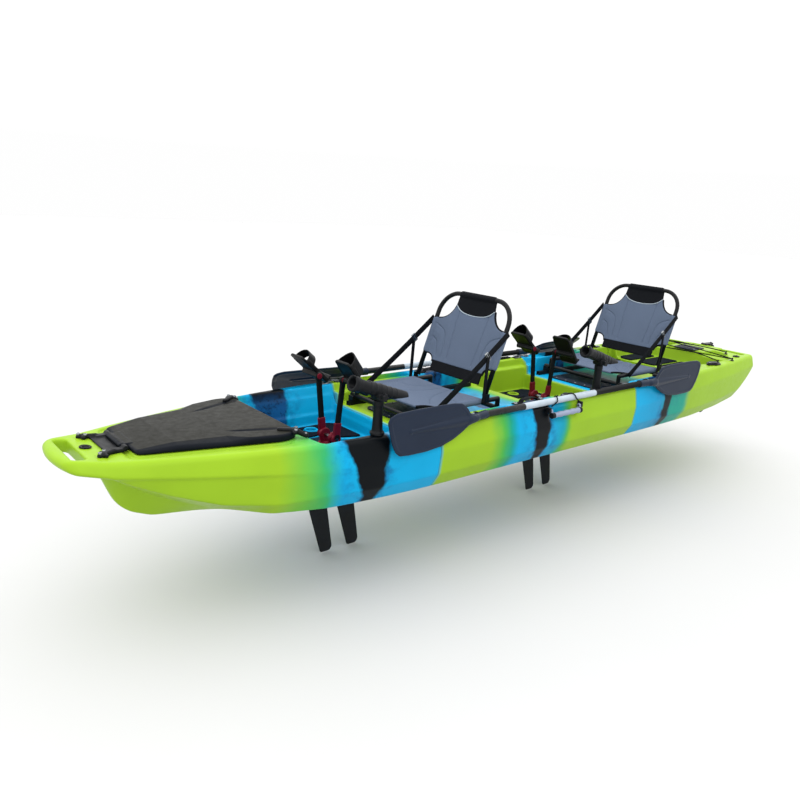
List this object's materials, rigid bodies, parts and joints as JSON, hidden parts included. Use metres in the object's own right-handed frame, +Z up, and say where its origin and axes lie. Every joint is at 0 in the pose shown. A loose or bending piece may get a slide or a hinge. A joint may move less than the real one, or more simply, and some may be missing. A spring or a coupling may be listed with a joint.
{
  "type": "tandem pedal kayak",
  "caption": "Sit-on-top tandem kayak in latched sections with sling seats, pedal fin drives, rudder, bow hatch, rod holders and stowed paddles.",
  "frame": {"origin": "middle of the hull length on the centre line, at the flat of the hull bottom", "axes": "+X to the stern, +Y to starboard, +Z up"},
  "size_m": [4.2544, 0.9175, 1.0844],
  "materials": {
    "hull_shell": "rotomoulded polyethylene, lime with cyan and black zones",
    "lid_plastic": "grained black plastic",
    "cover_plastic": "navy black plastic sheet",
    "black_plastic": "fine grained black plastic",
    "bright_steel": "brushed stainless steel",
    "seal_rubber": "matt seal rubber",
    "pad_foam": "closed cell foam",
    "bungee_cord": "braided cord",
    "webbing": "woven webbing",
    "grip_plastic": "silver grey plastic",
    "drive_red": "dark red gloss paint",
    "drive_black": "black moulded plastic",
    "fin_rubber": "flexible black fin",
    "seat_tube": "black powder coat on aluminium tube",
    "seat_mesh": "grey blue seat mesh",
    "paddle_parts": "slate blades on a dark shaft"
  },
  "bodies": {
    "hull": {"bow_section": "hull_shell", "middle_section": "hull_shell", "stern_section": "hull_shell", "seam_latches": "bright_steel", "bow_hatch_hinge": "black_plastic", "hatch_gasket": "seal_rubber", "hatch_covers": "cover_plastic", "deck_screws": "bright_steel", "foam_pads": "pad_foam", "drain_fittings": "black_plastic", "seat_rails": "black_plastic", "gear_tracks": "black_plastic", "tank_bungee": "bungee_cord", "deck_eyelets": "black_plastic", "paddle_keepers": "bungee_cord", "strap_handles": "webbing", "flush_rod_tubes": "black_plastic", "rod_holder_bases": "black_plastic", "handle_brackets": "black_plastic", "rudder_bracket": "black_plastic", "steering_base": "black_plastic", "drive_spines": "black_plastic", "drive_yokes": "drive_red", "drive_axles": "bright_steel"},
    "bow_hatch_lid": {"bow_hatch_lid": "lid_plastic"},
    "port_forward_cap": {"port_forward_cap": "black_plastic"},
    "starboard_forward_cap": {"starboard_forward_cap": "black_plastic"},
    "port_aft_cap": {"port_aft_cap": "black_plastic"},
    "starboard_aft_cap": {"starboard_aft_cap": "black_plastic"},
    "forward_rod_holder": {"forward_rod_holder": "black_plastic"},
    "aft_rod_holder": {"aft_rod_holder": "black_plastic"},
    "port_carry_handle": {"port_carry_handle": "grip_plastic"},
    "starboard_carry_handle": {"starboard_carry_handle": "grip_plastic"},
    "rudder_head": {"rudder_head": "black_plastic"},
    "rudder_blade": {"rudder_blade": "black_plastic"},
    "steering_lever": {"steering_lever": "black_plastic"},
    "port_paddle": {"port_paddle": "paddle_parts"},
    "starboard_paddle": {"starboard_paddle": "paddle_parts"},
    "front_port_crank": {"front_port_crank": "drive_black"},
    "front_port_pedal": {"front_port_pedal": "drive_black"},
    "front_starboard_crank": {"front_starboard_crank": "drive_black"},
    "front_starboard_pedal": {"front_starboard_pedal": "drive_black"},
    "front_forward_fin": {"front_forward_fin": "fin_rubber"},
    "front_aft_fin": {"front_aft_fin": "fin_rubber"},
    "front_seat": {"front_seat_frame": "seat_tube", "front_seat_pan": "seat_mesh", "front_seat_straps": "webbing"},
    "front_seat_back": {"front_seat_back_frame": "seat_tube", "front_seat_back_panel": "seat_mesh"},
    "rear_port_crank": {"rear_port_crank": "drive_black"},
    "rear_port_pedal": {"rear_port_pedal": "drive_black"},
    "rear_starboard_crank": {"rear_starboard_crank": "drive_black"},
    "rear_starboard_pedal": {"rear_starboard_pedal": "drive_black"},
    "rear_forward_fin": {"rear_forward_fin": "fin_rubber"},
    "rear_aft_fin": {"rear_aft_fin": "fin_rubber"},
    "rear_seat": {"rear_seat_frame": "seat_tube", "rear_seat_pan": "seat_mesh", "rear_seat_straps": "webbing"},
    "rear_seat_back": {"rear_seat_back_frame": "seat_tube", "rear_seat_back_panel": "seat_mesh"}
  },
  "joints": [
    {"name": "bow_hatch_hinge", "type": "hinge", "parent": "hull", "child": "bow_hatch_lid", "pos_m": [-1.8355, 0, 0.281], "axis": [0, -1, 0], "range_deg": [0, 95]},
    {"name": "port_forward_cap_swing", "type": "hinge", "parent": "hull", "child": "port_forward_cap", "pos_m": [0.1015, -0.356, 0.276], "axis": [0, 0, 1], "range_deg": [0, 100]},
    {"name": "starboard_forward_cap_swing", "type": "hinge", "parent": "hull", "child": "starboard_forward_cap", "pos_m": [0.1015, 0.356, 0.276], "axis": [0, 0, -1], "range_deg": [0, 100]},
    {"name": "port_aft_cap_swing", "type": "hinge", "parent": "hull", "child": "port_aft_cap", "pos_m": [1.4765, -0.33832, 0.29236], "axis": [0, 0, 1], "range_deg": [0, 100]},
    {"name": "starboard_aft_cap_swing", "type": "hinge", "parent": "hull", "child": "starboard_aft_cap", "pos_m": [1.4765, 0.33832, 0.29236], "axis": [0, 0, -1], "range_deg": [0, 100]},
    {"name": "forward_rod_holder_swivel", "type": "hinge", "parent": "hull", "child": "forward_rod_holder", "pos_m": [-0.9995, -0.36, 0.4], "axis": [0, 0, 1], "range_deg": [-60, 60]},
    {"name": "aft_rod_holder_swivel", "type": "hinge", "parent": "hull", "child": "aft_rod_holder", "pos_m": [0.3475, -0.36, 0.4], "axis": [0, 0, 1], "range_deg": [-60, 60]},
    {"name": "port_carry_handle_swing", "type": "hinge", "parent": "hull", "child": "port_carry_handle", "pos_m": [0.0295, -0.43, 0.246], "axis": [-1, 0, 0], "range_deg": [0, 85]},
    {"name": "starboard_carry_handle_swing", "type": "hinge", "parent": "hull", "child": "starboard_carry_handle", "pos_m": [0.0295, 0.43, 0.246], "axis": [1, 0, 0], "range_deg": [0, 85]},
    {"name": "rudder_steer", "type": "hinge", "parent": "hull", "child": "rudder_head", "pos_m": [2.1195, 0, 0.28228], "axis": [0, 0, 1], "range_deg": [-35, 35]},
    {"name": "rudder_kick", "type": "hinge", "parent": "rudder_head", "child": "rudder_blade", "pos_m": [2.1415, 0, 0.15], "axis": [0, -1, 0], "range_deg": [0, 110]},
    {"name": "steering_lever_turn", "type": "hinge", "parent": "hull", "child": "steering_lever", "pos_m": [1.0355, -0.363, 0.28923], "axis": [0, 0, 1], "range_deg": [-9, 9]},
    {"name": "front_port_crank_swing", "type": "hinge", "parent": "hull", "child": "front_port_crank", "pos_m": [-0.967, 0, 0.152], "axis": [0, 1, 0], "range_deg": [-30, 30]},
    {"name": "front_starboard_crank_swing", "type": "hinge", "parent": "hull", "child": "front_starboard_crank", "pos_m": [-0.967, 0, 0.152], "axis": [0, 1, 0], "range_deg": [-30, 30]},
    {"name": "front_forward_fin_sweep", "type": "hinge", "parent": "hull", "child": "front_forward_fin", "pos_m": [-1.037, 0, -0.024], "axis": [1, 0, 0], "range_deg": [-78.5, 78.5]},
    {"name": "front_aft_fin_sweep", "type": "hinge", "parent": "hull", "child": "front_aft_fin", "pos_m": [-0.897, 0, -0.024], "axis": [1, 0, 0], "range_deg": [-78.5, 78.5]},
    {"name": "front_port_pedal_tilt", "type": "hinge", "parent": "front_port_crank", "child": "front_port_pedal", "pos_m": [-0.94087, -0.111, 0.40063], "axis": [0, 1, 0], "range_deg": [-40, 40]},
    {"name": "front_starboard_pedal_tilt", "type": "hinge", "parent": "front_starboard_crank", "child": "front_starboard_pedal", "pos_m": [-0.99313, 0.111, 0.40063], "axis": [0, 1, 0], "range_deg": [-40, 40]},
    {"name": "rear_port_crank_swing", "type": "hinge", "parent": "hull", "child": "rear_port_crank", "pos_m": [0.373, 0, 0.152], "axis": [0, 1, 0], "range_deg": [-30, 30]},
    {"name": "rear_starboard_crank_swing", "type": "hinge", "parent": "hull", "child": "rear_starboard_crank", "pos_m": [0.373, 0, 0.152], "axis": [0, 1, 0], "range_deg": [-30, 30]},
    {"name": "rear_forward_fin_sweep", "type": "hinge", "parent": "hull", "child": "rear_forward_fin", "pos_m": [0.303, 0, -0.024], "axis": [1, 0, 0], "range_deg": [-78.5, 78.5]},
    {"name": "rear_aft_fin_sweep", "type": "hinge", "parent": "hull", "child": "rear_aft_fin", "pos_m": [0.443, 0, -0.024], "axis": [1, 0, 0], "range_deg": [-78.5, 78.5]},
    {"name": "rear_port_pedal_tilt", "type": "hinge", "parent": "rear_port_crank", "child": "rear_port_pedal", "pos_m": [0.39913, -0.111, 0.40063], "axis": [0, 1, 0], "range_deg": [-40, 40]},
    {"name": "rear_starboard_pedal_tilt", "type": "hinge", "parent": "rear_starboard_crank", "child": "rear_starboard_pedal", "pos_m": [0.34687, 0.111, 0.40063], "axis": [0, 1, 0], "range_deg": [-40, 40]},
    {"name": "front_seat_slide", "type": "slide", "parent": "hull", "child": "front_seat", "axis": [1, 0, 0], "range_m": [-0.01, 0.27]},
    {"name": "front_seat_back_fold", "type": "hinge", "parent": "front_seat", "child": "front_seat_back", "pos_m": [-0.2925, 0, 0.298], "axis": [0, -1, 0], "range_deg": [-10, 108], "deforming": ["front_seat_straps"]},
    {"name": "rear_seat_slide", "type": "slide", "parent": "hull", "child": "rear_seat", "axis": [1, 0, 0], "range_m": [-0.06, 0.2]},
    {"name": "rear_seat_back_fold", "type": "hinge", "parent": "rear_seat", "child": "rear_seat_back", "pos_m": [1.1015, 0, 0.298], "axis": [0, -1, 0], "range_deg": [-10, 108], "deforming": ["rear_seat_straps"]},
    {"name": "port_paddle_lift", "type": "slide", "parent": "hull", "child": "port_paddle", "axis": [0, 0, 1], "range_m": [0, 0.28], "deforming": ["paddle_keepers"]},
    {"name": "starboard_paddle_lift", "type": "slide", "parent": "hull", "child": "starboard_paddle", "axis": [0, 0, 1], "range_m": [0, 0.28], "deforming": ["paddle_keepers"]}
  ],
  "couplings": [
    {"joint": "steering_lever_turn", "follows": "rudder_steer", "ratio": -0.22857},
    {"joint": "front_starboard_crank_swing", "follows": "front_port_crank_swing", "ratio": -1},
    {"joint": "front_forward_fin_sweep", "follows": "front_port_crank_swing", "ratio": -2.6},
    {"joint": "front_aft_fin_sweep", "follows": "front_port_crank_swing", "ratio": 2.6},
    {"joint": "rear_starboard_crank_swing", "follows": "rear_port_crank_swing", "ratio": -1},
    {"joint": "rear_forward_fin_sweep", "follows": "rear_port_crank_swing", "ratio": -2.6},
    {"joint": "rear_aft_fin_sweep", "follows": "rear_port_crank_swing", "ratio": 2.6}
  ]
}
